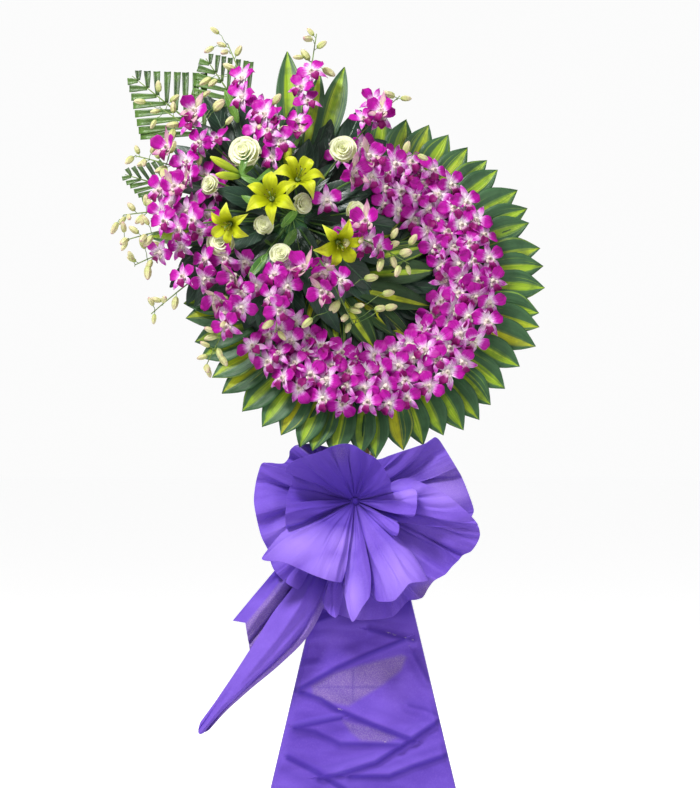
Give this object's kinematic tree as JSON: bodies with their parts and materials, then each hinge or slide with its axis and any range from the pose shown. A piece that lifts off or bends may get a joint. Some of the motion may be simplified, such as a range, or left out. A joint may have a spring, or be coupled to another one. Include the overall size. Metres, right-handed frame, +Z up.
{
  "type": "funeral wreath",
  "caption": "Standing funeral wreath: a leaf-rimmed round with a bank of orchids and a corner spray, on a lath stand with a purple cloth bow and skirt.",
  "frame": {"origin": "on the floor, in the middle of the whole object's box", "axes": "+Z up, -Y the way the wreath faces, +X to the right as the front is seen"},
  "size_m": [0.9362, 0.6479, 1.7959],
  "materials": {
    "stand_wood": "matte",
    "purple_cloth": "matte",
    "backing_straw": "matte",
    "floral_foam": "matte",
    "striped_leaf": "satin",
    "dark_leaf": "satin",
    "orchid": "satin",
    "rose": "satin",
    "lily": "satin"
  },
  "bodies": {
    "root": {"backing_round": "backing_straw", "bow_back": "purple_cloth", "bow_front": "purple_cloth", "bow_knot": "purple_cloth", "bow_tail_long": "purple_cloth", "bow_tail_short": "purple_cloth", "centre_leaves": "striped_leaf", "centre_post": "stand_wood", "crossbar_high": "stand_wood", "crossbar_low": "stand_wood", "foam_block": "floral_foam", "frond_1": "dark_leaf", "frond_2": "dark_leaf", "frond_3": "dark_leaf", "greenery": "dark_leaf", "leg_left": "stand_wood", "leg_right": "stand_wood", "lily_1": "lily", "lily_2": "lily", "lily_3": "lily", "lily_4": "lily", "lily_buds_1": "lily", "lily_buds_2": "lily", "orchid_bank_1": "orchid", "orchid_bank_2": "orchid", "orchid_bank_3": "orchid", "orchid_bank_4": "orchid", "orchid_bank_5": "orchid", "orchid_bank_6": "orchid", "orchid_spray_1": "orchid", "orchid_spray_10": "orchid", "orchid_spray_11": "orchid", "orchid_spray_12": "orchid", "orchid_spray_13": "orchid", "orchid_spray_14": "orchid", "orchid_spray_15": "orchid", "orchid_spray_2": "orchid", "orchid_spray_3": "orchid", "orchid_spray_4": "orchid", "orchid_spray_5": "orchid", "orchid_spray_6": "orchid", "orchid_spray_7": "orchid", "orchid_spray_8": "orchid", "orchid_spray_9": "orchid", "rear_leg": "stand_wood", "rim_leaves": "striped_leaf", "rose_1": "rose", "rose_2": "rose", "rose_3": "rose", "rose_4": "rose", "rose_5": "rose", "rose_6": "rose", "rose_7": "rose", "rose_8": "rose", "skirt": "purple_cloth", "tall_leaf_1": "striped_leaf", "tall_leaf_2": "striped_leaf", "tall_leaf_3": "striped_leaf", "tall_leaf_4": "striped_leaf"}
  },
  "joints": []
}
